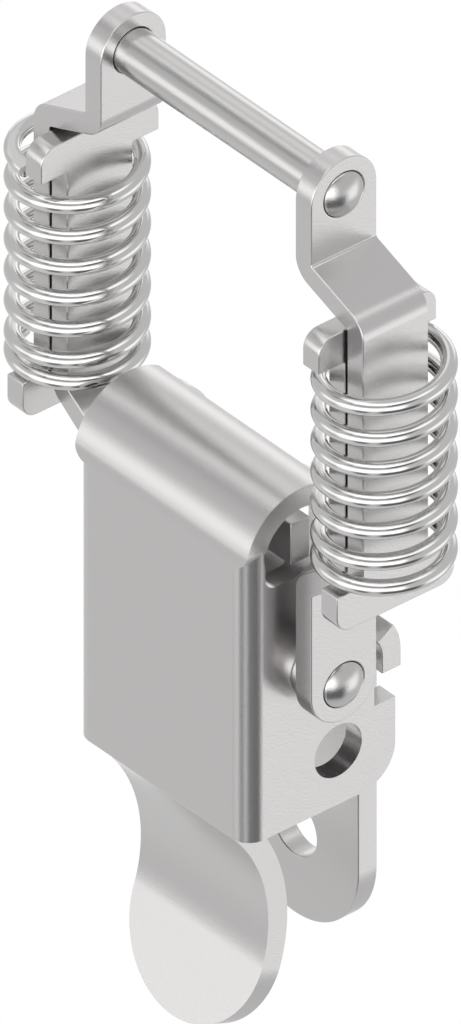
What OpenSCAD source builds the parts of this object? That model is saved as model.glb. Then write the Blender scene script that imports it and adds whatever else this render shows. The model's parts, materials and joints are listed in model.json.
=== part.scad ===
// Over centre toggle latch: a folded lever on a bent base plate draws a bail that two springs hold in.
// X runs across the latch, +Y points into the surface that it is fixed to, and +Z is up.
// The origin is the screw hole's centre on the mounting face. All sizes are in millimetres.

/* [Sheet and pins] */
// Thickness of the steel sheet
sheet_t = 2; // [1.6:0.1:2.4]
// Diameter of the cross bar and of the lever pin
pin_d = 4.1; // [3.2:0.1:4.6]
// Gap all round between a pin and its hole
pin_gap = 0.06; // [0.02:0.01:0.1]
// Height of a pin's domed end
dome_h = 0.8; // [0.4:0.1:1.5]

/* [Pull line] */
// Distance from the mounting face to the plane of the straps, springs and bar
pull_y = 8.7; // [8.2:0.1:12]
// Height of the lever pin above the screw hole
pin_z = 24.5; // [22:0.5:32]
// Height of the cross bar above the lever pin
bar_rise = 48.3; // [47.5:0.1:60]

/* [Lever] */
// Width across the lever's flanges
lever_w = 21.6; // [20:0.1:26]
// Height of the hinge axis above the lever pin
hinge_rise = 12.5; // [11.5:0.1:15]
// Distance of the hinge axis in front of the pull line
over_centre = 1.65; // [1:0.05:2.5]
// Outside radius of the roll around the hinge
roll_r = 5.8; // [5.5:0.1:7]
// Angle above the horizontal at which the roll ends
roll_end_a = 57; // [40:1:60]
// Angle below the horizontal at which the roll's two tongues end
tongue_end_a = 42; // [0:1:45]
// Radius of the roll's two lower corners
roll_corner_r = 1.4; // [0.5:0.1:2]
// Width of the front wall's bends
corner_r = 1.85; // [1.6:0.05:3]
// Distance of the wall's lower edge below the lever pin
wall_drop = 14.6; // [13:0.1:18]
// Distance of the flanges' upper rear edge behind the pull line
flange_back = 6.05; // [5:0.05:6.1]
// Distance that the flanges' heel reaches further back
heel_back = 2.2; // [1:0.05:2.4]
// Distance of the heel's upper edge below the lever pin
heel_drop = 6.65; // [5:0.05:8]
// Radius of the heel's lower corner
heel_r = 3.6; // [1:0.1:5]
// Depth of the flanges' opening below the hinge axis
slot_drop = 2.75; // [2.6:0.05:3.5]
// Slope of the opening's rear edge
slot_slope_a = 25; // [15:1:28]
// Distance of the slope's foot in front of the hinge axis
slope_ahead = 0.55; // [0.2:0.05:1]
// Length of the flanges' level upper edge
crest_l = 3.6; // [3:0.1:4.5]
// Radius of the opening's front corner and of the flanges' upper rear corner
slot_r = 1.2; // [0.5:0.1:1.8]
// Diameter of the padlock holes
padlock_d = 5; // [4:0.1:6]
// Distance of the padlock holes behind the pull line
padlock_back = 2.25; // [1:0.05:3]
// Distance of the padlock holes below the lever pin
padlock_drop = 9.3; // [8:0.1:11]

/* [Thumb tab] */
// Width of the thumb tab
tab_w = 16; // [12:0.5:17]
// Angle at which the tab leaves the front wall
tab_lead_a = 47; // [30:1:55]
// Radius of the tab's hollow front face
tab_sweep_r = 14.75; // [12:0.25:20]
// Angle through which the hollow face runs on past the vertical
tab_past_a = 17.5; // [5:0.5:25]
// Angle of the crease between the hollow face and the flat end
pad_crease_a = 2.5; // [1:0.5:10]

/* [Base plate] */
// Width of the base plate's lower end
base_w = 16; // [14:0.5:17]
// Distance of the round foot's centre below the screw hole
foot_drop = 0.5; // [0:0.1:3]
// Diameter of the screw hole
screw_d = 5.5; // [4:0.1:6.5]
// Distance of the wings' lower edge below the lever pin
wing_drop = 3.7; // [3:0.1:5]
// Width across the wings and the hinge bar
wing_w = 22; // [20.5:0.1:24]
// Bend angle at which the wings end
wing_a = 34; // [20:1:40]
// Width of the neck
neck_w = 14; // [10:0.5:14.5]
// Angle of the neck from the vertical
neck_a = 45; // [43:1:50]
// Inside radius of the neck's bends
neck_r = 2.8; // [2:0.1:3.2]
// Distance of the neck's first bend below the lever pin
neck_drop = 2; // [1.5:0.1:3]
// Height of the hinge bar
hinge_bar_h = 4; // [3:0.1:4.2]
// Height of the hinge bar's centre above the hinge axis
hinge_bar_rise = 0.8; // [0.5:0.1:1]
// Distance of the hinge bar's centre in front of the hinge axis
hinge_bar_ahead = 0.25; // [0:0.05:0.4]

/* [Straps] */
// Width of the straps
strap_w = 6.9; // [5:0.1:6.9]
// Thickness of the washer between the lever and a lower strap
washer_t = 1.4; // [1:0.05:2.5]
// Diameter of that washer
washer_d = 5.6; // [5.2:0.1:6.9]
// Gap between the two straps inside a spring
strap_gap = 0.3; // [0.2:0.05:0.6]
// Inside radius of the straps' bends
strap_r = 0.3; // [0.2:0.1:0.8]
// Sideways step of a lower strap
lower_jog = 4.2; // [3.5:0.1:5]
// Slope of a lower strap's step
lower_jog_a = 36; // [25:1:40]
// Height of a lower strap's step above the lever pin
lower_jog_rise = 10.2; // [9:0.1:10.5]
// Slope of an upper strap's shoulder
shoulder_a = 20.5; // [15:0.5:25]
// Distance of an upper strap's shoulder below the bar
shoulder_drop = 5.65; // [5:0.05:5.8]
// Length of a spring seat's cross piece
seat_w = 12.4; // [12:0.1:14]
// Height of a lower strap's spring seat
head_seat_h = 3.2; // [2.5:0.1:3.3]
// Height of an upper strap's spring seat
foot_seat_h = 3.6; // [3:0.1:5]
// Corner radius of a spring seat
seat_r = 1.5; // [0.5:0.1:2]

/* [Springs] */
// Outside diameter of a spring
spring_d = 12; // [12:0.1:13]
// Wire diameter
wire_d = 1.45; // [1.2:0.05:1.5]
// Length of a spring in the latch
spring_l = 20.8; // [18:0.1:21]
// Height of the springs' lower end above the lever pin
spring_rise = 14.7; // [14.5:0.1:16]
// Turns that stand apart
open_turns = 6; // [4:0.1:7]
// Turns that lie closed at the upper end
upper_turns = 0.3; // [0.2:0.1:1.2]
// Turns that lie closed at the lower end
lower_turns = 0.9; // [0.2:0.1:1.2]
// Direction in which the left spring's upper end points
left_end_a = -91; // [-180:1:180]
// Direction in which the right spring's upper end points
right_end_a = 180; // [-180:1:180]

/* [Hidden] */
$fn = 96;
// Side gap where flat faces of two pieces meet
slack = 0.02;
// Length by which a bend runs into the sheet that it joins, and its margin inside that sheet
lap = 0.02;
margin = 0.001;
// Side gap between a tongue and the flange or the neck
tongue_gap = 0.2;
// Distance of the springs' axis outside the middle of the two straps
spring_shift = 0.7;
// Distances by which a corner post reaches down, up and inwards, and its distance from the sheet's back
post_low = 1;
post_high = 0.3;
post_in = 1;
post_back = 0.1;
// Share of the wire's thickness that is ground away at a spring's end
ground = 0.25;
// Facets around the wire and along one turn of it
wire_sides = 12;
wire_steps = 24;
pin_at = [0, -pull_y, pin_z];
hinge_at = pin_at + [0, -over_centre, hinge_rise];
bar_at = pin_at + [0, 0, bar_rise];
front_y = hinge_at.y - roll_r;
roll_in_r = roll_r - sheet_t;
pin_hole_d = pin_d + 2 * pin_gap;
flange_in_x = lever_w / 2 - sheet_t;
tongue_w = flange_in_x - neck_w / 2 - 2 * tongue_gap;
ear_x = lever_w / 2 + washer_t;
ear_out_x = ear_x + sheet_t;
lower_out_x = ear_out_x + lower_jog;
upper_x = lower_out_x + strap_gap;
spring_x = (lower_out_x + upper_x) / 2 + spring_shift;
head_seat_z = spring_rise + spring_l;

// A bent sheet is laid out as a chain. Each link of it starts at the origin, runs along +X, is centred
// on the X axis across its width and fills Z from 0 to the sheet's thickness.

// A straight length of sheet. The children follow at its end.
module flat(length, width) {
    translate([0, -width / 2, 0]) cube([length, width, sheet_t]);
    translate([length, 0, 0]) children();
}

// A bend with the inside radius r: a positive angle bends up and a negative one down. It is thinner and
// narrower than the sheet by inset on each side, so that its ends run into the sheet without a seam.
module fold(angle, r, width, inset = margin) {
    side = sign(angle);
    centre = [0, 0, side > 0 ? sheet_t + r : -r];
    lap_a = lap / (r + sheet_t / 2) * 180 / PI;
    translate(centre) {
        rotate([90, 0, 0]) rotate((side > 0 ? -90 : 90 + angle) - lap_a)
            rotate_extrude(angle = abs(angle) + 2 * lap_a) translate([r + inset, inset - width / 2])
                square([sheet_t - 2 * inset, width - 2 * inset]);
        rotate([0, -angle, 0]) translate(-centre) children();
    }
}

// A cut piece of flat sheet, with its outline as the children.
module blank() {
    linear_extrude(sheet_t) children();
}

// A rectangle that runs along +X and has round corners at its far end.
module round_end(length, width, r) {
    translate([0, -width / 2]) square([length - r, width]);
    translate([0, r - width / 2]) square([length, width - 2 * r]);
    for (side = [-1, 1]) translate([length - r, side * (width / 2 - r)]) circle(r);
}

// The length that a bend of the radius r takes from each of the lines that it joins.
function setback(angle, r) = r * tan(angle / 2);

// A hole across the latch.
module cross_hole(d, at) {
    translate(at) rotate([0, 90, 0]) cylinder(d = d, h = 2 * lever_w, center = true);
}

// A round bar across the latch with a domed end on each side.
module domed_pin(at) {
    dome_r = (pow(pin_d / 2, 2) + pow(dome_h, 2)) / (2 * dome_h);
    half = ear_out_x + slack;
    translate(at) rotate([0, 90, 0]) {
        cylinder(d = pin_d, h = 2 * half, center = true);
        for (side = [0, 1]) mirror([0, 0, side]) translate([0, 0, half]) intersection() {
            translate([0, 0, dome_h - dome_r]) sphere(dome_r);
            cylinder(d = pin_d, h = 2 * dome_h);
        }
    }
}

// Foot and screw hole, then the wings and the neck, then the hinge bar.
module base_plate() {
    straight = wing_drop - neck_drop;
    step = -hinge_at.y + hinge_bar_ahead - sheet_t / 2;
    slant = (step - (2 * neck_r + sheet_t) * (1 - cos(neck_a))) / sin(neck_a);
    climb = (2 * neck_r + sheet_t) * sin(neck_a) + slant * cos(neck_a);
    upright = hinge_rise + hinge_bar_rise - hinge_bar_h / 2 + neck_drop - climb;
    color("silver") rotate([0, -90, 90]) difference() {
        union() {
            translate([-foot_drop, 0, 0]) {
                cylinder(d = base_w, h = sheet_t);
                flat(foot_drop, base_w);
            }
            flat(pin_z - wing_drop, base_w) {
                flat(straight, wing_w) fold(wing_a, neck_r, wing_w) fold(neck_a - wing_a, neck_r, neck_w, 2 * margin)
                    flat(slant, neck_w) fold(-neck_a, neck_r, neck_w) flat(upright, neck_w)
                    flat(hinge_bar_h, wing_w);
            }
        }
        translate([0, 0, -1]) cylinder(d = screw_d, h = sheet_t + 2);
    }
}

// The lever's channel seen from above, from the middle of its front face.
module lever_section() {
    depth = roll_r + over_centre + flange_back + heel_back;
    difference() {
        translate([0, depth]) rotate(-90) round_end(depth, lever_w, corner_r);
        translate([-flange_in_x, sheet_t]) square([2 * flange_in_x, depth]);
    }
}

// A flange seen from the side, from the hinge axis: Y runs to the right and Z up.
module flange_outline() {
    low = -hinge_rise - wall_drop;
    back = over_centre + flange_back;
    heel = back + heel_back;
    heel_z = -hinge_rise - heel_drop;
    slope_y = -slope_ahead;
    crest_y = back - crest_l;
    crest_z = round(100 * ((crest_y - slope_y) * tan(slot_slope_a) - slot_drop)) / 100;
    translate([-roll_r, low]) square([back + roll_r, -slot_drop - low]);
    translate([-roll_r, low + heel_r]) square([heel + roll_r, heel_z - low - heel_r]);
    translate([-roll_r, low]) square([heel + roll_r - heel_r, heel_r]);
    translate([heel - heel_r, low + heel_r]) circle(heel_r);
    polygon([[slope_y, -slot_drop], [crest_y, crest_z], [back - slot_r, crest_z], [back - slot_r, -slot_drop]]);
    translate([back - slot_r - 1, -slot_drop - 1]) square([slot_r + 1, crest_z - slot_r + slot_drop + 1]);
    translate([back - slot_r, crest_z - slot_r]) circle(slot_r);
    translate([-roll_r, -slot_drop - 1]) square([sheet_t, slot_drop + 1]);
    difference() {
        translate([-roll_in_r, -slot_drop]) square(slot_r);
        translate([-roll_in_r + slot_r, -slot_drop + slot_r]) circle(slot_r);
    }
}

// The roll that hooks over the hinge bar. It is open at the back for the neck, and a tongue on each
// side of the neck closes it further round.
module lever_roll() {
    translate([0, front_y, hinge_at.z]) rotate([0, -90, -90])
        fold(180 - roll_end_a, roll_in_r, lever_w)
            for (side = [-1, 1]) translate([0, side * (flange_in_x + neck_w / 2) / 2, 0])
                fold(roll_end_a + tongue_end_a, roll_in_r, tongue_w, 2 * margin);
}

// What the rounding of one of the roll's lower corners takes away.
module roll_corner() {
    translate([lever_w / 2 - roll_corner_r, front_y - 1, hinge_at.z]) difference() {
        translate([0, 0, -1]) cube([roll_corner_r + 1, sheet_t + 2, roll_corner_r + 1]);
        translate([0, 0, roll_corner_r]) rotate([-90, 0, 0]) cylinder(r = roll_corner_r, h = 2 * sheet_t);
    }
}

// The upper end of a wall bend, which fills the space under the roll's rounded corner. It reaches down
// into the wall and up and inwards into the roll.
module corner_post() {
    intersection() {
        translate([0, front_y, hinge_at.z - post_low]) linear_extrude(post_low + roll_corner_r + post_high)
            intersection() {
                lever_section();
                translate([flange_in_x - post_in, 0]) square([sheet_t + post_in - 2 * margin, sheet_t - post_back]);
            }
        translate(hinge_at) rotate([0, 90, 0]) cylinder(r = roll_r - 10 * margin, h = lever_w);
    }
}

// The tab turns back sharply from the wall's lower edge, sweeps forward again and ends in a round pad.
module thumb_tab() {
    translate([0, front_y, pin_z - wall_drop]) rotate([0, 90, 90]) rotate([0, -tab_lead_a, 0])
        fold(-tab_lead_a - tab_past_a, tab_sweep_r, tab_w) fold(-pad_crease_a, strap_r, tab_w, 2 * margin) blank()
            intersection() {
                circle(d = tab_w);
                translate([0, -tab_w / 2]) square([tab_w, tab_w]);
            }
}

module lever() {
    height = hinge_rise + wall_drop;
    color("gainsboro") difference() {
        union() {
            intersection() {
                translate([0, front_y, hinge_at.z - height]) linear_extrude(height) lever_section();
                translate([-lever_w / 2 - 1, hinge_at.y, hinge_at.z]) rotate([90, 0, 90])
                    linear_extrude(lever_w + 2) flange_outline();
            }
            difference() {
                lever_roll();
                for (side = [0, 1]) mirror([side, 0, 0]) roll_corner();
            }
            for (side = [0, 1]) mirror([side, 0, 0]) corner_post();
            thumb_tab();
        }
        cross_hole(pin_hole_d, pin_at);
        cross_hole(padlock_d, pin_at + [0, padlock_back, -padlock_drop]);
    }
}

module lever_pin() {
    color("darkgray") domed_pin(pin_at);
}

module cross_bar() {
    color("darkgray") domed_pin(bar_at);
}

// A washer that keeps a lower strap clear of the lever.
module spacer_washer() {
    color("darkgray") translate(pin_at + [lever_w / 2 + slack, 0, 0]) rotate([0, 90, 0]) difference() {
        cylinder(d = washer_d, h = washer_t - 2 * slack);
        translate([0, 0, -1]) cylinder(d = pin_hole_d, h = washer_t + 2);
    }
}

// The right-hand lower strap: an ear on the lever pin, a step outwards and a seat over the spring.
module lower_strap() {
    bend_a = 90 - lower_jog_a;
    back = setback(bend_a, strap_r);
    round = setback(bend_a, strap_r + sheet_t);
    jog_top = lower_jog_rise + lower_jog * tan(lower_jog_a);
    color("lightgray") translate([ear_out_x, pin_at.y, pin_at.z]) rotate([0, -90, 0]) difference() {
        union() {
            cylinder(d = strap_w, h = sheet_t);
            flat(lower_jog_rise - back, strap_w) fold(-bend_a, strap_r, strap_w)
                flat(lower_jog / cos(lower_jog_a) - back - round, strap_w) fold(bend_a, strap_r, strap_w)
                    flat(head_seat_z - jog_top - round, strap_w) blank() round_end(head_seat_h, seat_w, seat_r);
        }
        translate([0, 0, -1]) cylinder(d = pin_hole_d, h = sheet_t + 2);
    }
}

// The right-hand upper strap: an ear on the bar, a shoulder outwards and a seat under the spring.
module upper_strap() {
    bend_a = 90 - shoulder_a;
    back = setback(bend_a, strap_r);
    round = setback(bend_a, strap_r + sheet_t);
    jog = upper_x - ear_x;
    drop = shoulder_drop + sheet_t * (1 - sin(shoulder_a)) / cos(shoulder_a);
    leg = bar_rise - spring_rise - drop - jog * tan(shoulder_a) - back;
    color("lightgray") translate([ear_x, bar_at.y, bar_at.z]) rotate([0, 90, 0]) difference() {
        union() {
            cylinder(d = strap_w, h = sheet_t);
            flat(drop - round, strap_w) fold(bend_a, strap_r, strap_w)
                flat(jog / cos(shoulder_a) - round - back, strap_w) fold(-bend_a, strap_r, strap_w)
                    flat(leg, strap_w) blank() round_end(foot_seat_h, seat_w, seat_r);
        }
        translate([0, 0, -1]) cylinder(d = pin_hole_d, h = sheet_t + 2);
    }
}

// Height of the wire's centre after a number of turns, from the spring's lower end.
function coil_z(turn) =
    let (closed_p = wire_d * 1.03,
         first = wire_d * (0.5 - ground),
         length = spring_l - 2 * slack,
         open_p = (length - 2 * first - (lower_turns + upper_turns) * closed_p) / open_turns,
         open_from = lower_turns,
         open_to = lower_turns + open_turns)
    first + closed_p * (min(turn, open_from) + max(turn - open_to, 0))
          + open_p * (min(max(turn, open_from), open_to) - open_from);

// One ring of points around the wire. Its ends are ground flat where it leaves the spring's length.
function wire_ring(turn, turns, end_a) =
    let (a = end_a - 360 * (turns - turn), r = (spring_d - wire_d) / 2)
    [for (i = [0:wire_sides - 1])
        let (b = 360 * i / wire_sides, out = r + wire_d / 2 * cos(b), z = coil_z(turn) + wire_d / 2 * sin(b))
        [out * cos(a), out * sin(a), min(max(z, 0), spring_l - 2 * slack)]];

// A spring whose wire ends at the top in the direction end_a.
module spring(end_a) {
    turns = lower_turns + open_turns + upper_turns;
    rings = ceil(turns * wire_steps);
    points = [for (k = [0:rings]) each wire_ring(turns * k / rings, turns, end_a)];
    n = wire_sides;
    sides = [for (k = [0:rings - 1], i = [0:n - 1])
        let (a = k * n + i, b = k * n + (i + 1) % n) each [[a, b, b + n], [a, b + n, a + n]]];
    caps = [[for (i = [0:n - 1]) n - 1 - i], [for (i = [0:n - 1]) rings * n + i]];
    color("whitesmoke") translate(pin_at + [0, 0, spring_rise + slack]) polyhedron(points, concat(sides, caps));
}

base_plate();
lever();
lever_pin();
mirror([1, 0, 0]) spacer_washer();  // spacer_washer_left
spacer_washer();  // spacer_washer_right
mirror([1, 0, 0]) lower_strap();  // lower_strap_left
lower_strap();  // lower_strap_right
translate([-spring_x, 0, 0]) spring(left_end_a);  // spring_left
translate([spring_x, 0, 0]) spring(right_end_a);  // spring_right
mirror([1, 0, 0]) upper_strap();  // upper_strap_left
upper_strap();  // upper_strap_right
cross_bar();
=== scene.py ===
"""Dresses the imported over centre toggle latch: satin sheet steel, round bars and two bright coil springs.

Lengths are metres in the latch's own frame: X across it, +Y into the surface it is fixed to, +Z up.
Angles are degrees. A direction's azimuth is 0 in front of the latch and 90 on its right.
"""

from __future__ import annotations

import json
import logging
import math
from dataclasses import dataclass
from enum import Enum
from typing import Any

import bmesh
import bpy
from mathutils import Matrix, Vector

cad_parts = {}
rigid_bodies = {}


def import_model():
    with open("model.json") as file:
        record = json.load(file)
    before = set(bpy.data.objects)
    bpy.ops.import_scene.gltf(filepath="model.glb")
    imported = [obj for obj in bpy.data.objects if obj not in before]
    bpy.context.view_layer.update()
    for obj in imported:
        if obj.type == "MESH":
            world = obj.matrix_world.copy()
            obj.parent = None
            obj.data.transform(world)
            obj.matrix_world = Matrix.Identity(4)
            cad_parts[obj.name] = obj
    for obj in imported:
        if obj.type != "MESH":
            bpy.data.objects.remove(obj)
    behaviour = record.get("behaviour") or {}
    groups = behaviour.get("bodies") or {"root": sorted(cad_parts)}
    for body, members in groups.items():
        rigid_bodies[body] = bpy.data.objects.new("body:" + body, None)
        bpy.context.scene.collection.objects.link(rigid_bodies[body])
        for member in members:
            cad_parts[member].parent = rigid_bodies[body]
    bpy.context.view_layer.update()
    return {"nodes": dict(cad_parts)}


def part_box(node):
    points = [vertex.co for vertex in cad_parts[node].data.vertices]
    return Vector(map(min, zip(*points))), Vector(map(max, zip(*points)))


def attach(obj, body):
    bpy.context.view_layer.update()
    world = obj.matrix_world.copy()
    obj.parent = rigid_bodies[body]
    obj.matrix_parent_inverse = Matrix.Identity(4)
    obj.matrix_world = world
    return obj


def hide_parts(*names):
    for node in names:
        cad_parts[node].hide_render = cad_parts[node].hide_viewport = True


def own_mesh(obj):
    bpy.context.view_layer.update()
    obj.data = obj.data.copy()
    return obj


LOG = logging.getLogger("latch")
MM = 0.001
HALF_TURN = 180.0
FULL_TURN = 360.0
NOISE_MEAN = 0.5
WHITE = (1.0, 1.0, 1.0, 1.0)


class Steel(Enum):
    """The finishes of the latch, by their materials' names."""

    SHEET = "satin_sheet"
    BAR = "turned_bar"
    WIRE = "bright_wire"


class Side(Enum):
    """The sides of the latch, by the sign of their X."""

    LEFT = -1
    RIGHT = 1

    @property
    def word(self) -> str:
        """The side as nodes name it."""
        return self.name.lower()


class Term:
    """A shader socket that takes part in Python expressions."""

    def __init__(self, tree: Shader, socket: bpy.types.NodeSocket | None) -> None:
        """Wraps one output socket.

        Args:
            tree: The shader that the socket belongs to.
            socket: The output socket, or nothing for a node that has none.
        """
        self.tree = tree
        self.socket = socket

    def _math(self, operation: str, *values: Any) -> Term:
        """Adds a Math node over the given values."""
        return self.tree.add("ShaderNodeMath", {"operation": operation}, dict(enumerate(values)))

    def __add__(self, other: Any) -> Term:
        """Sum."""
        return self._math("ADD", self, other)

    __radd__ = __add__

    def __sub__(self, other: Any) -> Term:
        """Difference."""
        return self._math("SUBTRACT", self, other)

    def __rsub__(self, other: Any) -> Term:
        """Reflected difference."""
        return self._math("SUBTRACT", other, self)

    def __mul__(self, other: Any) -> Term:
        """Product."""
        return self._math("MULTIPLY", self, other)

    __rmul__ = __mul__

    def __pow__(self, other: Any) -> Term:
        """Power."""
        return self._math("POWER", self, other)

    def __neg__(self) -> Term:
        """Negative."""
        return self._math("MULTIPLY", self, -1.0)

    def __abs__(self) -> Term:
        """Size without sign."""
        return self._math("ABSOLUTE", self)

    def cosine(self) -> Term:
        """Cosine of an angle in radians."""
        return self._math("COSINE", self)

    def sine(self) -> Term:
        """Sine of an angle in radians."""
        return self._math("SINE", self)

    def bearing(self, other: Term) -> Term:
        """The angle whose sine runs along this value and whose cosine runs along the other, in degrees."""
        return self._math("ARCTAN2", self, other) * math.degrees(1.0)

    def wrap(self, low: float, high: float) -> Term:
        """The value brought back between two limits that are one period apart."""
        return self._math("WRAP", self, high, low)

    def clamp(self) -> Term:
        """The value held between 0 and 1."""
        return self.tree.add("ShaderNodeClamp", {}, {"Value": self})

    def band(self, low: float, high: float) -> Term:
        """A smooth step from 0 at low to 1 at high, where low may be the larger.

        Args:
            low: The value where the step starts.
            high: The value where it ends.

        Returns:
            The step as a term.
        """
        return self.tree.add(
            "ShaderNodeMapRange",
            {"interpolation_type": "SMOOTHSTEP"},
            {"Value": self, "From Min": low, "From Max": high},
        )


class Shader:
    """A node tree of a material, of the world or of a modifier, built from Python."""

    def __init__(self, tree: bpy.types.NodeTree) -> None:
        """Empties the tree and keeps it.

        Args:
            tree: The node tree to fill.
        """
        self.tree = tree
        tree.nodes.clear()

    def add(
        self, kind: str, settings: dict[str, Any], inputs: dict[Any, Any], output: int | str = 0
    ) -> Term:
        """Adds one node.

        Args:
            kind: The node's type name.
            settings: Its properties, which are set first.
            inputs: Values or terms by socket name or number.
            output: The output socket that the term stands for.

        Returns:
            The node's output as a term.
        """
        node = self.tree.nodes.new(kind)
        for name, value in settings.items():
            setattr(node, name, value)
        for name, value in inputs.items():
            socket = node.inputs[name]
            if isinstance(value, Term):
                self.tree.links.new(value.socket, socket)
            else:
                socket.default_value = value
        return Term(self, node.outputs[output] if node.outputs else None)

    def axes(self, vector: Term) -> list[Term]:
        """Splits a vector.

        Args:
            vector: The vector.

        Returns:
            Its X, Y and Z.
        """
        node = self.add("ShaderNodeSeparateXYZ", {}, {"Vector": vector}).socket.node
        return [Term(self, output) for output in node.outputs]


@dataclass(frozen=True)
class SteelFinish:
    """One steel finish, from its colour to its grain.

    Attributes:
        steel: The steel that it belongs to.
        tint: The metal's colour.
        roughness: The mean roughness.
        grain: Depth of the fine grain.
        grain_size: Distance over which the grain changes.
        grain_detail: Finer layers of the grain.
        grain_fade: Weight of each finer layer against the one before.
        grain_haze: Share of the roughness that changes with the grain.
        lay: Scale of the grain's pattern on each axis, below 1 where it is drawn out.
        cloud_size: Distance over which the broad clouds change.
        cloud_detail: Finer layers of the clouds.
        cloud_haze: Roughness that changes with the clouds.
        mottle: How far the colour changes with the grain and the clouds.
    """

    steel: Steel
    tint: tuple[float, float, float]
    roughness: float
    grain: float
    grain_size: float = 0.16 * MM
    grain_detail: float = 3.0
    grain_fade: float = 0.6
    grain_haze: float = 0.10
    lay: tuple[float, float, float] = (1.0, 1.0, 1.0)
    cloud_size: float = 6.25 * MM
    cloud_detail: float = 2.0
    cloud_haze: float = 0.015
    mottle: float = 0.006

    def build(self) -> bpy.types.Material:
        """Makes the material.

        Returns:
            The finished material.
        """
        material = bpy.data.materials.new(self.steel.value)
        material.use_nodes = True
        shader = Shader(material.node_tree)
        place = shader.add("ShaderNodeTexCoord", {}, {}, "Object")
        laid = shader.add("ShaderNodeMapping", {}, {"Vector": place, "Scale": self.lay})
        fine = shader.add(
            "ShaderNodeTexNoise",
            {},
            {
                "Vector": laid,
                "Scale": 1.0 / self.grain_size,
                "Detail": self.grain_detail,
                "Roughness": self.grain_fade,
            },
        )
        broad = shader.add(
            "ShaderNodeTexNoise",
            {},
            {"Vector": place, "Scale": 1.0 / self.cloud_size, "Detail": self.cloud_detail},
        )
        fine_swing = fine - NOISE_MEAN
        broad_swing = broad - NOISE_MEAN
        shade = 1.0 - self.mottle * broad_swing - self.mottle * fine_swing
        grey = shader.add("ShaderNodeCombineColor", {}, {"Red": shade, "Green": shade, "Blue": shade})
        tint = shader.add(
            "ShaderNodeMix",
            {"data_type": "RGBA", "blend_type": "MULTIPLY"},
            {"Factor": 1.0, "A": (*self.tint, 1.0), "B": grey},
            "Result",
        )
        rough = self.roughness + self.grain_haze * self.roughness * fine_swing + self.cloud_haze * broad_swing
        bump = shader.add(
            "ShaderNodeBump",
            {},
            {"Height": fine, "Strength": 1.0, "Distance": self.grain},
            "Normal",
        )
        surface = shader.add(
            "ShaderNodeBsdfPrincipled",
            {},
            {"Base Color": tint, "Metallic": 1.0, "Roughness": rough.clamp(), "Normal": bump},
            "BSDF",
        )
        shader.add("ShaderNodeOutputMaterial", {}, {"Surface": surface})
        return material


class FinishRack:
    """Holds one built material for each steel."""

    finishes: tuple[SteelFinish, ...] = (
        SteelFinish(Steel.SHEET, (0.742, 0.73, 0.727), 0.25, grain=0.014 * MM),
        SteelFinish(Steel.BAR, (0.722, 0.712, 0.708), 0.22, grain=0.010 * MM, lay=(0.08, 1.0, 1.0)),
        SteelFinish(Steel.WIRE, (0.80, 0.792, 0.788), 0.10, grain=0.0004 * MM),
    )

    def __init__(self) -> None:
        """Builds the finishes."""
        self.materials = {finish.steel: finish.build() for finish in self.finishes}

    def __getitem__(self, steel: Steel) -> bpy.types.Material:
        """The material of a steel."""
        return self.materials[steel]


def settle(work: bmesh.types.BMesh, name: str) -> bpy.types.Mesh:
    """Ends an edit with smooth faces and a new mesh.

    Args:
        work: The edited mesh, which is freed.
        name: The new mesh's name.

    Returns:
        The new mesh.
    """
    for face in work.faces:
        face.smooth = True
    made = bpy.data.meshes.new(name)
    work.to_mesh(made)
    work.free()
    return made


def flatten(piece: bpy.types.Object) -> bpy.types.Object:
    """Turns a piece with modifiers into one with a plain mesh.

    Args:
        piece: The object with modifiers.

    Returns:
        The same object with the result as its mesh.
    """
    graph = bpy.context.evaluated_depsgraph_get()
    graph.update()
    plain = bpy.data.meshes.new_from_object(piece.evaluated_get(graph), depsgraph=graph)
    piece.modifiers.clear()
    piece.data = plain
    return piece


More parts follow.
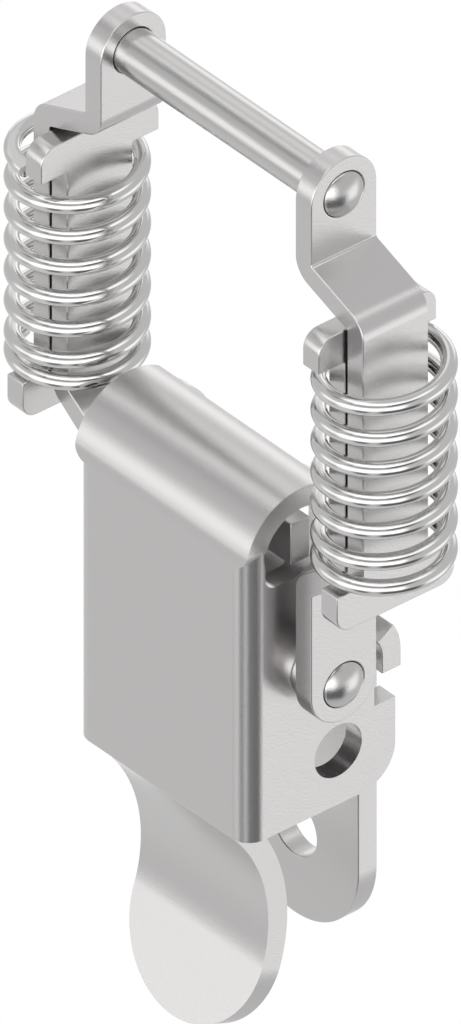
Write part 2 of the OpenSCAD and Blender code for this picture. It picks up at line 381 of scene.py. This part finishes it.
@dataclass
class MetalPiece:
    """A solid metal piece whose edges are broken, as a deburred blank's are.

    Attributes:
        node: The frame's node that it replaces.
        body: The body that it rides on.
        slot: The material slot of the part's record; not used.
        steel: Its finish.
        edge: Width of a broken edge.
        segments: Steps across a broken edge.
        bend: Turn from one face to the next from which the edge between them is broken.
        weld: Points nearer to each other than this become one.
        flat: Faces that turn less than this become one.
        broad: Area from which a face mirrors as one plane.
        pull: How strongly large faces draw the normals of the small ones beside them.
    """

    node: str
    body: str
    slot: str
    steel: Steel
    edge: float = 0.11 * MM
    segments: int = 3
    bend: float = 28.0
    weld: float = 0.006 * MM
    flat: float = 0.4
    broad: float = 30.0 * MM * MM
    pull: int = 50

    @property
    def name(self) -> str:
        """The piece's own name."""
        return self.node + "_metal"

    def mesh(self, source: bpy.types.Object) -> bpy.types.Mesh:
        """Copies the frame's mesh and joins it into whole faces.

        Args:
            source: The frame's node.

        Returns:
            A closed mesh with few flat faces.
        """
        work = bmesh.new()
        work.from_mesh(source.data)
        bmesh.ops.remove_doubles(work, verts=work.verts, dist=self.weld)
        bmesh.ops.dissolve_degenerate(work, edges=work.edges, dist=self.weld)
        bmesh.ops.dissolve_limit(
            work,
            angle_limit=math.radians(self.flat),
            verts=work.verts,
            edges=work.edges,
            use_dissolve_boundaries=False,
        )
        return settle(work, self.name)

    def steady(self, mesh: bpy.types.Mesh) -> None:
        """Gives every corner of a broad face that face's own normal, so that it mirrors as one plane.

        Args:
            mesh: The piece's finished mesh.
        """
        normals = [Vector(corner.vector) for corner in mesh.corner_normals]
        for face in mesh.polygons:
            if face.area > self.broad:
                for corner in face.loop_indices:
                    normals[corner] = face.normal.copy()
        mesh.normals_split_custom_set(normals)

    def build(self, source: bpy.types.Object, rack: FinishRack) -> bpy.types.Object:
        """Makes the piece and puts it in the node's place.

        Args:
            source: The frame's node.
            rack: The finishes.

        Returns:
            The finished piece.
        """
        piece = bpy.data.objects.new(self.name, self.mesh(source))
        bpy.context.scene.collection.objects.link(piece)
        bevel = piece.modifiers.new("broken_edges", "BEVEL")
        bevel.width = self.edge
        bevel.segments = self.segments
        bevel.limit_method = "ANGLE"
        bevel.angle_limit = math.radians(self.bend)
        bevel.use_clamp_overlap = True
        bevel.miter_outer = "MITER_ARC"
        normals = piece.modifiers.new("flat_faces", "WEIGHTED_NORMAL")
        normals.mode = "FACE_AREA"
        normals.weight = self.pull
        piece = flatten(piece)
        self.steady(piece.data)
        piece.data.materials.clear()
        piece.data.materials.append(rack[self.steel])
        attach(piece, self.body)
        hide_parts(self.node)
        return piece


@dataclass
class TurnedPin(MetalPiece):
    """A round bar with domed ends, turned from its profile so that its highlights run straight.

    Attributes:
        edge: Width of a broken edge.
        radius: The bar's radius.
        dome: Height of each dome.
        around: Steps round the bar.
        arc: Steps from a dome's pole to its shoulder.
        pole_weld: Points nearer to each other than this become one, at the poles and the seam.
    """

    edge: float = 0.1 * MM
    radius: float = 2.05 * MM
    dome: float = 0.8 * MM
    around: int = 96
    arc: int = 14
    pole_weld: float = 0.0006 * MM

    def profile(self, half: float) -> list[tuple[float, float]]:
        """The outline of one half, from the pole to the shoulder.

        Args:
            half: Half the pin's length over its domes.

        Returns:
            Distances along the axis and from the axis.
        """
        ball = (self.radius**2 + self.dome**2) / (2 * self.dome)
        reach = math.asin(self.radius / ball)
        angles = [reach * step / self.arc for step in range(self.arc + 1)]
        return [(half - ball + ball * math.cos(angle), ball * math.sin(angle)) for angle in angles]

    def mesh(self, source: bpy.types.Object) -> bpy.types.Mesh:
        """Turns the pin in the box of the frame's node.

        Args:
            source: The frame's node; not used, so its own mesh isn't copied.

        Returns:
            A closed mesh of revolution.
        """
        low, high = (Vector(corner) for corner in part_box(self.node))
        centre = (low + high) / 2
        half = self.profile((high.x - low.x) / 2)
        outline = half + [(-along, out) for along, out in reversed(half)]
        work = bmesh.new()
        points = [work.verts.new(centre + Vector((along, 0.0, out))) for along, out in outline]
        lines = [work.edges.new(pair) for pair in zip(points, points[1:])]
        bmesh.ops.spin(
            work,
            geom=points + lines,
            cent=centre,
            axis=(1.0, 0.0, 0.0),
            angle=math.tau,
            steps=self.around,
            use_merge=True,
        )
        bmesh.ops.remove_doubles(work, verts=work.verts, dist=self.pole_weld)
        bmesh.ops.recalc_face_normals(work, faces=work.faces)
        return settle(work, self.name)


@dataclass
class CoilSpring:
    """A compression spring with closed and ground ends.

    Attributes:
        side: The side of the latch that it works on.
        end_angle: Where the wire's upper end lies, from +X towards +Y.
        axis_x: Distance of its axis from the latch's middle.
        axis_y: Place of its axis between front and back.
        low: Height of its lower end.
        length: Its length at rest.
        outside_radius: Its radius over the wire.
        wire: The wire's diameter.
        open_turns: Turns that stand apart.
        upper_turns: Closed turns at the upper end.
        lower_turns: Closed turns at the lower end.
        ground: Share of the wire's diameter that is ground off at each end.
        closed_pitch: Rise of a closed turn in wire diameters.
        steps: Points along each turn.
        sides: Faces round the wire.
        crease: Turn from one face to the next from which the edge between them is sharp.
        travel: How far the bail's slide squeezes it; not used.
    """

    side: Side
    end_angle: float
    axis_x: float = 19.25 * MM
    axis_y: float = -8.7 * MM
    low: float = 39.22 * MM
    length: float = 20.76 * MM
    outside_radius: float = 6.0 * MM
    wire: float = 1.45 * MM
    open_turns: float = 6.0
    upper_turns: float = 0.3
    lower_turns: float = 0.9
    ground: float = 0.25
    closed_pitch: float = 1.03
    steps: int = 64
    sides: int = 20
    crease: float = 40.0
    travel: float = 6.0 * MM

    @property
    def name(self) -> str:
        """The frame's node that it replaces."""
        return "spring_" + self.side.word

    @property
    def turns(self) -> float:
        """All turns of the wire."""
        return self.lower_turns + self.open_turns + self.upper_turns

    def inputs(self) -> dict[str, float]:
        """The named sizes that the node tree takes.

        Returns:
            Values by input name.
        """
        first = self.wire * (0.5 - self.ground)
        closed = self.wire * self.closed_pitch
        closed_turns = self.lower_turns + self.upper_turns
        pitch = (self.length - 2 * first - closed_turns * closed) / self.open_turns
        return {
            "Turns": self.turns,
            "Lower Turns": self.lower_turns,
            "Upper Turns": self.upper_turns,
            "Mean Radius": self.outside_radius - self.wire / 2,
            "Wire Radius": self.wire / 2,
            "First Height": first,
            "Closed Pitch": closed,
            "Open Pitch": pitch,
            "Length": self.length,
            "Start Angle": math.radians(self.end_angle - FULL_TURN * self.turns),
        }

    def wind(self, maker: Shader, size: dict[str, Term]) -> Term:
        """Winds the wire about the origin, from height 0 up.

        Args:
            maker: The tree that the nodes go into.
            size: The named sizes.

        Returns:
            The round wire before its ends are ground.
        """
        line = maker.add(
            "GeometryNodeCurvePrimitiveLine", {"mode": "POINTS"}, {"Start": (0, 0, 0), "End": (0, 0, 1)}
        )
        points = maker.add(
            "GeometryNodeResampleCurve", {}, {"Curve": line, "Count": math.ceil(self.turns * self.steps) + 1}
        )
        turn = maker.add("GeometryNodeSplineParameter", {}, {}, "Factor") * size["Turns"]
        opened = maker.add(
            "ShaderNodeClamp",
            {},
            {"Value": turn, "Min": size["Lower Turns"], "Max": size["Turns"] - size["Upper Turns"]},
        ) - size["Lower Turns"]
        height = size["First Height"] + size["Closed Pitch"] * (turn - opened) + size["Open Pitch"] * opened
        angle = size["Start Angle"] + turn * math.tau
        radius = size["Mean Radius"]
        spot = maker.add(
            "ShaderNodeCombineXYZ",
            {},
            {"X": radius * angle.cosine(), "Y": radius * angle.sine(), "Z": height},
        )
        coil = maker.add("GeometryNodeSetPosition", {}, {"Geometry": points, "Position": spot})
        profile = maker.add(
            "GeometryNodeCurvePrimitiveCircle",
            {"mode": "RADIUS"},
            {"Resolution": self.sides, "Radius": size["Wire Radius"]},
        )
        return maker.add(
            "GeometryNodeCurveToMesh", {}, {"Curve": coil, "Profile Curve": profile, "Fill Caps": True}
        )

    def seat(self, maker: Shader, size: dict[str, Term], round_wire: Term) -> Term:
        """Grinds the ends flat and moves the coil to its place.

        Args:
            maker: The tree that the nodes go into.
            size: The named sizes.
            round_wire: The wound wire.

        Returns:
            The spring in the latch's frame.
        """
        x, y, z = maker.axes(maker.add("GeometryNodeInputPosition", {}, {}))
        held = maker.add("ShaderNodeClamp", {}, {"Value": z, "Min": 0.0, "Max": size["Length"]})
        where = maker.add(
            "ShaderNodeCombineXYZ",
            {},
            {"X": x + self.side.value * self.axis_x, "Y": y + self.axis_y, "Z": held + self.low},
        )
        return maker.add("GeometryNodeSetPosition", {}, {"Geometry": round_wire, "Position": where})

    def tree(self, wire: bpy.types.Material) -> bpy.types.NodeTree:
        """Builds the coil's Geometry Nodes.

        Args:
            wire: The wire's material.

        Returns:
            A tree with one named input for each size.
        """
        tree = bpy.data.node_groups.new("coil_of_wire", "GeometryNodeTree")
        tree.interface.new_socket("Geometry", in_out="OUTPUT", socket_type="NodeSocketGeometry")
        for name in self.inputs():
            tree.interface.new_socket(name, in_out="INPUT", socket_type="NodeSocketFloat")
        maker = Shader(tree)
        given = maker.add("NodeGroupInput", {}, {}).socket.node.outputs
        size = {name: Term(maker, given[name]) for name in self.inputs()}
        seated = self.seat(maker, size, self.wind(maker, size))
        smooth = maker.add("GeometryNodeSetShadeSmooth", {}, {"Geometry": seated})
        whole = maker.add("GeometryNodeRealizeInstances", {}, {"Geometry": smooth})
        dressed = maker.add("GeometryNodeSetMaterial", {}, {"Geometry": whole, "Material": wire})
        maker.add("NodeGroupOutput", {}, {0: dressed})
        return tree

    def build(self, rack: FinishRack) -> bpy.types.Object:
        """Winds the spring and seats it between the straps.

        Args:
            rack: The finishes.

        Returns:
            The finished spring.
        """
        holder = bpy.data.meshes.new(self.name)
        piece = bpy.data.objects.new(self.name + "_wire", holder)
        bpy.context.scene.collection.objects.link(piece)
        nodes = piece.modifiers.new("coil", "NODES")
        nodes.node_group = self.tree(rack[Steel.WIRE])
        for item in nodes.node_group.interface.items_tree:
            if item.in_out == "INPUT":
                nodes[item.identifier] = self.inputs()[item.name]
        piece = flatten(piece)
        piece.data.set_sharp_from_angle(angle=math.radians(self.crease))
        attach(piece, "draw_links")
        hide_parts(self.name)
        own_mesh(piece)
        return piece


def away_from_latch(azimuth: float, elevation: float) -> Vector:
    """The direction from the latch to a place round it.

    Args:
        azimuth: The place's azimuth.
        elevation: The place's elevation.

    Returns:
        A vector of length 1.
    """
    turn, rise = math.radians(azimuth), math.radians(elevation)
    return Vector((math.sin(turn) * math.cos(rise), -math.cos(turn) * math.cos(rise), math.sin(rise)))


@dataclass(frozen=True)
class Lamp:
    """A soft rectangular lamp that shines on the latch."""

    name: str
    azimuth: float
    elevation: float
    distance: float
    size: tuple[float, float]
    power: float

    def build(self, target: Vector) -> None:
        """Hangs the lamp.

        Args:
            target: The point that it shines on.
        """
        light = bpy.data.lights.new(self.name, "AREA")
        light.shape = "RECTANGLE"
        light.size, light.size_y = self.size
        light.energy = self.power
        lamp = bpy.data.objects.new(self.name, light)
        bpy.context.scene.collection.objects.link(lamp)
        away = away_from_latch(self.azimuth, self.elevation)
        turned = away.to_track_quat("Z", "Y").to_matrix().to_4x4()
        lamp.matrix_world = Matrix.Translation(target + away * self.distance) @ turned


@dataclass(frozen=True)
class Panel:
    """A soft panel of the studio that the steel mirrors: a light one adds and a dark one takes away.

    Attributes:
        name: Where it hangs, and whether it is light or a shade.
        azimuth: Its middle's azimuth.
        elevation: Its middle's elevation.
        half: Half its width and height.
        blur: How far its edges fade outwards, across and up.
        gain: What it adds at its middle.
    """

    name: str
    azimuth: float
    elevation: float
    half: tuple[float, float]
    blur: tuple[float, float]
    gain: float

    def glow(self, azimuth: Term, elevation: Term) -> Term:
        """What the panel adds to the studio's light.

        Args:
            azimuth: The mirrored direction's azimuth.
            elevation: The mirrored direction's elevation.

        Returns:
            The panel's share.
        """
        across = abs((azimuth - self.azimuth).wrap(-HALF_TURN, HALF_TURN))
        up = abs(elevation - self.elevation)
        wide, high = (
            offset.band(half + blur, half) for offset, half, blur in zip((across, up), self.half, self.blur)
        )
        return self.gain * (wide * high)


@dataclass
class Studio:
    """The white studio, its lamp and the view without perspective that the photograph has.

    Attributes:
        azimuth: The camera's azimuth.
        elevation: The camera's elevation.
        distance: The camera's distance from its aim.
        near: The nearest distance that it sees, as a share of its own.
        far: The farthest one.
        view_height: The picture's height on the latch.
        centre: The middle of the lever pin.
        rise: How far the picture's middle lies above the lever pin.
        aside: How far it lies to the right.
        lit_rise: How far above the lever pin the lamp shines.
        lamp: The one lamp.
        ground: The studio's light between the panels.
        panels: The panels.
    """

    azimuth: float = 50.0
    elevation: float = 35.0
    distance: float = 1.0
    near: float = 0.05
    far: float = 20.0
    view_height: float = 82.58 * MM
    centre: tuple[float, float, float] = (0.0, -8.7 * MM, 24.5 * MM)
    rise: float = 7.694 * MM
    aside: float = -0.024 * MM
    lit_rise: float = 10.0 * MM
    lamp: Lamp = Lamp("key", azimuth=20.0, elevation=60.0, distance=0.6, size=(0.5, 0.5), power=0.3)
    ground: float = 0.58
    panels: tuple[Panel, ...] = (
        Panel("front_strip", 12.0, 0.0, (58.0, 5.0), (20.0, 14.0), 0.58),
        Panel("right_strip", 28.0, -1.0, (42.0, 16.0), (15.0, 12.0), 0.58),
        Panel("right_low", 135.0, -22.0, (8.0, 8.0), (32.0, 14.0), 0.58),
        Panel("rear_high", -140.0, 12.0, (14.0, 6.0), (25.0, 11.0), 0.62),
        Panel("rear_low", -134.0, -29.0, (12.0, 9.0), (25.0, 14.0), 0.60),
        Panel("rear_upper", -118.0, 44.0, (8.0, 4.0), (16.0, 11.0), 0.30),
        Panel("overhead", 40.0, 60.0, (102.0, 6.0), (30.0, 9.0), 0.62),
        Panel("right_shade", 79.0, -38.0, (28.0, 12.0), (16.0, 14.0), -0.46),
        Panel("front_shade", 13.0, -36.0, (5.0, 8.0), (13.0, 12.0), -0.40),
        Panel("front_left_shade", -36.0, -28.0, (4.0, 8.0), (10.0, 9.0), -0.13),
        Panel("upper_shade", 42.0, 42.0, (42.0, 5.0), (32.0, 9.0), -0.48),
        Panel("left_upper_shade", -60.0, 44.0, (7.0, 3.0), (14.0, 8.0), -0.28),
        Panel("left_glint", -84.0, 54.0, (7.0, 2.0), (8.0, 5.0), 0.40),
        Panel("left_low", -65.0, -42.0, (50.0, 14.0), (30.0, 16.0), 0.08),
    )

    def camera(self) -> None:
        """Sets up the camera at the photograph's angle."""
        back = away_from_latch(self.azimuth, self.elevation)
        turn = math.radians(self.azimuth)
        right = Vector((math.cos(turn), math.sin(turn), 0.0))
        top = back.cross(right)
        lens = bpy.data.cameras.new("parallel_view")
        lens.type = "ORTHO"
        lens.ortho_scale = self.view_height
        lens.clip_start = self.distance * self.near
        lens.clip_end = self.distance * self.far
        view = bpy.data.objects.new("camera", lens)
        bpy.context.scene.collection.objects.link(view)
        aim = Vector(self.centre) + top * self.rise + right * self.aside
        turned = Matrix((right, top, back)).transposed().to_4x4()
        view.matrix_world = Matrix.Translation(aim + back * self.distance) @ turned
        bpy.context.scene.camera = view

    def world(self) -> None:
        """Makes the white surroundings and the grey tones that the steel mirrors."""
        world = bpy.data.worlds.new("studio")
        bpy.context.scene.world = world
        world.use_nodes = True
        shader = Shader(world.node_tree)
        x, y, z = shader.axes(shader.add("ShaderNodeTexCoord", {}, {}, "Generated"))
        azimuth = x.bearing(-y)
        elevation = z.bearing((x * x + y * y) ** 0.5)
        light = self.ground + sum((panel.glow(azimuth, elevation) for panel in self.panels), 0.0)
        room = shader.add("ShaderNodeBackground", {}, {"Strength": light, "Color": WHITE})
        white = shader.add("ShaderNodeBackground", {}, {"Strength": 1.0, "Color": WHITE})
        # Glossy rays see the room with its panels, which gives the steel the photograph's grey tones.
        camera = shader.add("ShaderNodeLightPath", {}, {}, "Is Camera Ray")
        through = shader.add("ShaderNodeLightPath", {}, {}, "Is Transmission Ray")
        seen = (camera + through).clamp()
        both = shader.add("ShaderNodeMixShader", {}, {"Fac": seen, 1: room, 2: white})
        shader.add("ShaderNodeOutputWorld", {}, {"Surface": both})

    def build(self) -> None:
        """Builds camera, world and lamp."""
        self.camera()
        self.world()
        self.lamp.build(Vector(self.centre) + Vector((0.0, 0.0, self.lit_rise)))
        bpy.context.scene.view_settings.view_transform = "Standard"


def main() -> None:
    """Builds the latch's looks, one piece after another."""
    logging.basicConfig(level=logging.INFO, format="%(message)s")
    for item in list(bpy.data.objects):
        bpy.data.objects.remove(item)
    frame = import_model()
    rack = FinishRack()
    Studio().build()
    pieces = [
        MetalPiece("base_plate", "base", "sheet_steel", Steel.SHEET),
        MetalPiece("lever", "lever", "sheet_steel", Steel.SHEET),
        TurnedPin("lever_pin", "draw_links", "bar_steel", Steel.BAR),
        TurnedPin("cross_bar", "bail", "bar_steel", Steel.BAR),
    ]
    for side in Side:
        pieces += [
            MetalPiece("spacer_washer_" + side.word, "draw_links", "bar_steel", Steel.BAR),
            MetalPiece("lower_strap_" + side.word, "draw_links", "sheet_steel", Steel.SHEET),
            MetalPiece("upper_strap_" + side.word, "bail", "sheet_steel", Steel.SHEET),
        ]
    for piece in pieces:
        made = piece.build(frame["nodes"][piece.node], rack)
        LOG.info("%s: %d faces", made.name, len(made.data.polygons))
    for spring in (CoilSpring(Side.LEFT, end_angle=-91.0), CoilSpring(Side.RIGHT, end_angle=180.0)):
        made = spring.build(rack)
        LOG.info("%s: %d faces", made.name, len(made.data.polygons))


if __name__ == "__main__":
    main()
